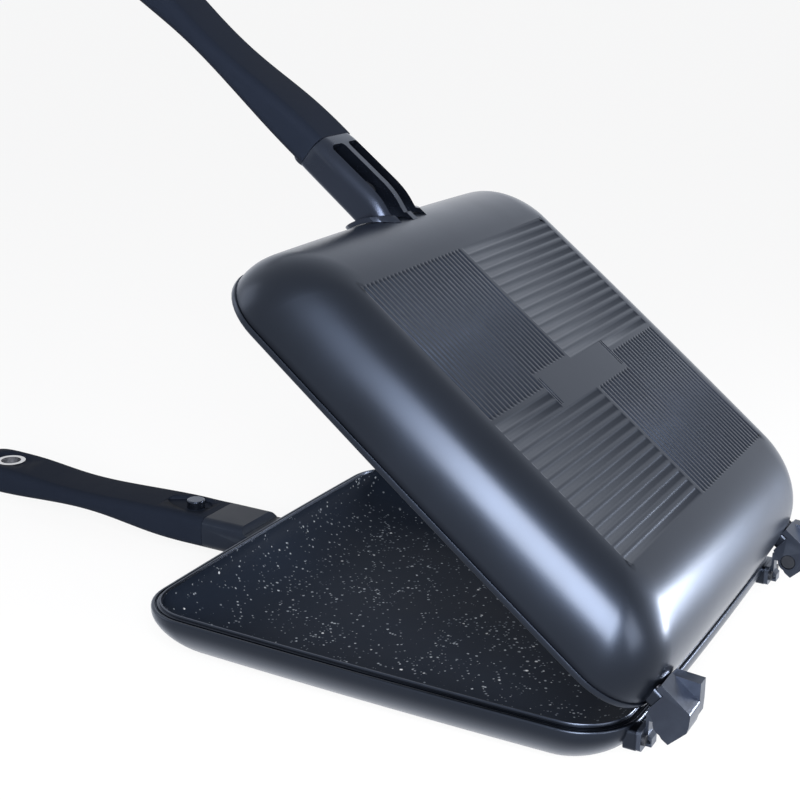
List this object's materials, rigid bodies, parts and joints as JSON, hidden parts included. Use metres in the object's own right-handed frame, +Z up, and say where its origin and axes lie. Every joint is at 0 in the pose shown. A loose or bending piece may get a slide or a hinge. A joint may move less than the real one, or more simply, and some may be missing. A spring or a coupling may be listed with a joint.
{
  "type": "stovetop sandwich toaster",
  "caption": "Two square pans hinged rim to rim, each with a straight handle, for toasting a filled sandwich over a stove; shown part open.",
  "frame": {"origin": "centre of the lower pan's flat underside", "axes": "+X from the handles towards the hinge, +Y along the hinge axis, +Z up"},
  "size_m": [0.438, 0.224, 0.3077],
  "materials": {
    "pan_paint": "die-cast, with satin slate-blue metallic paint outside and a dark speckled coating inside",
    "bracket_paint": "smooth slate paint, a little glossier than the pans",
    "grip_soft_touch": "charcoal soft-touch",
    "steel": "plain steel",
    "eyelet_steel": "polished steel",
    "magnet": "bare magnet",
    "post_metal": "painted like the bracket",
    "hinge_casting": "satin paint with the casting's grain"
  },
  "bodies": {
    "lower_half": {"lower_pan": "pan_paint", "lower_bracket": "bracket_paint", "lower_bracket_screws": "steel", "lower_grip": "grip_soft_touch", "lower_grip_bolt": "steel", "lower_hanging_eyelet": "eyelet_steel", "lower_magnet_post": "post_metal", "lower_magnet": "magnet", "hinge_lug_right": "hinge_casting", "hinge_lug_left": "hinge_casting", "hinge_lug_screws": "steel"},
    "upper_half": {"upper_pan": "pan_paint", "upper_bracket": "bracket_paint", "upper_bracket_screws": "steel", "upper_grip": "grip_soft_touch", "upper_grip_bolt": "steel", "upper_hanging_eyelet": "eyelet_steel", "upper_magnet_post": "post_metal", "upper_magnet": "magnet", "hinge_block_right": "hinge_casting", "hinge_block_left": "hinge_casting", "hinge_block_screws": "steel", "hinge_pin_right": "steel", "hinge_pin_left": "steel"}
  },
  "joints": [
    {"name": "hinge", "type": "hinge", "parent": "lower_half", "child": "upper_half", "pos_m": [0.1238, 0, 0.026], "axis": [0, 1, 0], "range_deg": [-38, 57]}
  ]
}
